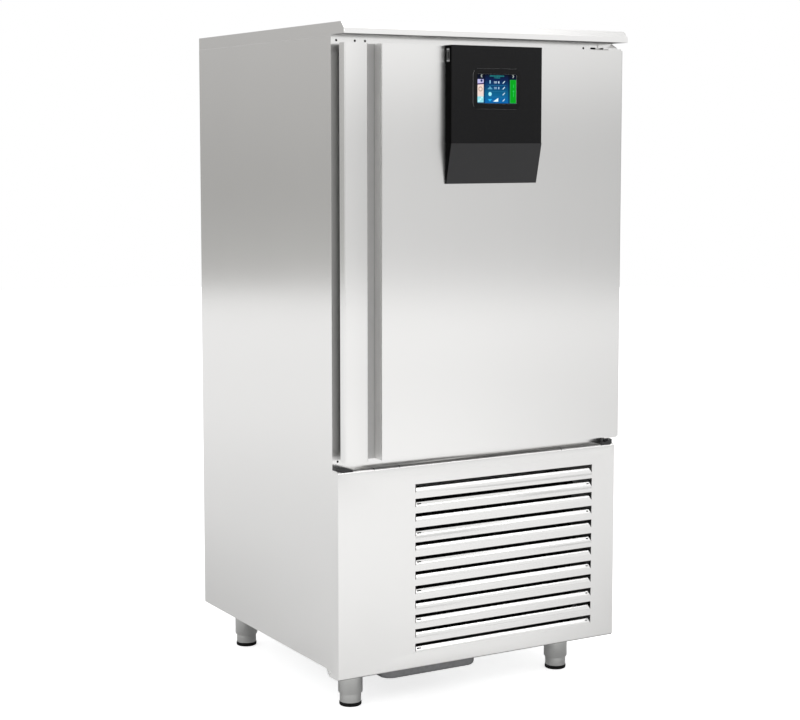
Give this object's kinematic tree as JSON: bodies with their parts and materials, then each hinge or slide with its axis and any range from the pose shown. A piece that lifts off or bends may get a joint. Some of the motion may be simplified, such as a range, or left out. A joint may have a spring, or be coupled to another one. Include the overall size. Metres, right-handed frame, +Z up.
{
  "type": "blast chiller",
  "caption": "Upright stainless steel blast chiller with a hinged insulated door, a control box with a touch screen, tray runners, a fan-cooled evaporator and a louvred machine compartment.",
  "frame": {"origin": "on the floor, under the middle of the outline", "axes": "+X to the right seen from the front, +Y to the back, +Z up"},
  "size_m": [0.7944, 0.8266, 1.62],
  "materials": {
    "stainless": "brushed",
    "dull_stainless": "satin",
    "galvanised": "dull",
    "screw_steel": "polished",
    "black_metal": "satin",
    "foam": "matt",
    "grey_plastic": "matt",
    "gasket_rubber": "matt",
    "gloss_black": "glossy",
    "cover_grey": "matt",
    "bezel_black": "glossy",
    "screen": "glossy",
    "board_green": "matt",
    "port_grey": "satin",
    "fin_aluminium": "plain",
    "fan_plastic": "matt",
    "motor_paint": "satin",
    "guard_wire": "polished",
    "compressor_paint": "semi-gloss",
    "copper": "dull",
    "box_plastic": "matt",
    "black_rubber": "matt"
  },
  "bodies": {
    "cabinet": {"worktop": "stainless", "left_side_panel": "stainless", "right_side_panel": "stainless", "rear_panel": "dull_stainless", "rear_vent_panel": "dull_stainless", "casing_screws": "screw_steel", "front_frame": "stainless", "lower_front_panel": "stainless", "base_plate": "galvanised", "deck": "galvanised", "chamber_liner": "stainless", "break_strip": "grey_plastic", "cabinet_insulation": "foam", "drain_pipe": "dull_stainless", "top_hinge_bracket": "dull_stainless", "bottom_hinge_bracket": "black_metal", "spare_hinge_plate": "black_metal", "rack_posts": "dull_stainless", "tray_runners_left": "dull_stainless", "tray_runners_right": "dull_stainless", "evaporator_cover": "stainless", "evaporator_coil": "fin_aluminium", "evaporator_drain_pan": "dull_stainless", "evaporator_motors": "motor_paint", "fan_guards": "guard_wire", "compressor": "compressor_paint", "condenser_coil": "fin_aluminium", "condenser_shroud": "galvanised", "condenser_motor": "motor_paint", "liquid_receiver": "compressor_paint", "filter_drier": "copper", "refrigerant_pipes": "copper", "electrical_box": "box_plastic", "cable_grommet": "black_rubber", "drip_tray_rails": "galvanised", "leg_sleeves": "dull_stainless"},
    "door": {"door_shell": "stainless", "door_pan": "stainless", "door_insulation": "foam", "door_gasket": "gasket_rubber", "door_hinge_plates": "dull_stainless", "control_housing": "gloss_black", "control_lower_cover": "cover_grey", "screen_bezel": "bezel_black", "touch_screen": "screen", "control_board": "board_green", "service_port": "port_grey"},
    "upper_evaporator_fan": {"evaporator_fan_upper": "fan_plastic"},
    "lower_evaporator_fan": {"evaporator_fan_lower": "fan_plastic"},
    "condenser_fan": {"condenser_fan": "fin_aluminium"},
    "drip_tray": {"drip_tray": "galvanised"},
    "front_left_foot": {"foot_front_left": "dull_stainless", "pad_front_left": "black_rubber"},
    "front_right_foot": {"foot_front_right": "dull_stainless", "pad_front_right": "black_rubber"},
    "rear_left_foot": {"foot_rear_left": "dull_stainless", "pad_rear_left": "black_rubber"},
    "rear_right_foot": {"foot_rear_right": "dull_stainless", "pad_rear_right": "black_rubber"}
  },
  "joints": [
    {"name": "door_hinge", "type": "hinge", "parent": "cabinet", "child": "door", "pos_m": [0.3757, -0.3407, 1], "axis": [0, 0, 1], "range_deg": [0, 105]},
    {"name": "upper_evaporator_fan_spin", "type": "hinge", "parent": "cabinet", "child": "upper_evaporator_fan", "pos_m": [0, 0.1463, 1.2975], "axis": [0, 1, 0], "continuous": true},
    {"name": "lower_evaporator_fan_spin", "type": "hinge", "parent": "cabinet", "child": "lower_evaporator_fan", "pos_m": [0, 0.1463, 0.8975], "axis": [0, 1, 0], "continuous": true},
    {"name": "condenser_fan_spin", "type": "hinge", "parent": "cabinet", "child": "condenser_fan", "pos_m": [0.069, -0.1887, 0.3227], "axis": [0, 1, 0], "continuous": true},
    {"name": "drip_tray_slide", "type": "slide", "parent": "cabinet", "child": "drip_tray", "axis": [0, -1, 0], "range_m": [0, 0.25]},
    {"name": "front_left_foot_screw", "type": "slide", "parent": "cabinet", "child": "front_left_foot", "axis": [0, 0, -1], "range_m": [0, 0.04]},
    {"name": "front_right_foot_screw", "type": "slide", "parent": "cabinet", "child": "front_right_foot", "axis": [0, 0, -1], "range_m": [0, 0.04]},
    {"name": "rear_left_foot_screw", "type": "slide", "parent": "cabinet", "child": "rear_left_foot", "axis": [0, 0, -1], "range_m": [0, 0.04]},
    {"name": "rear_right_foot_screw", "type": "slide", "parent": "cabinet", "child": "rear_right_foot", "axis": [0, 0, -1], "range_m": [0, 0.04]}
  ]
}
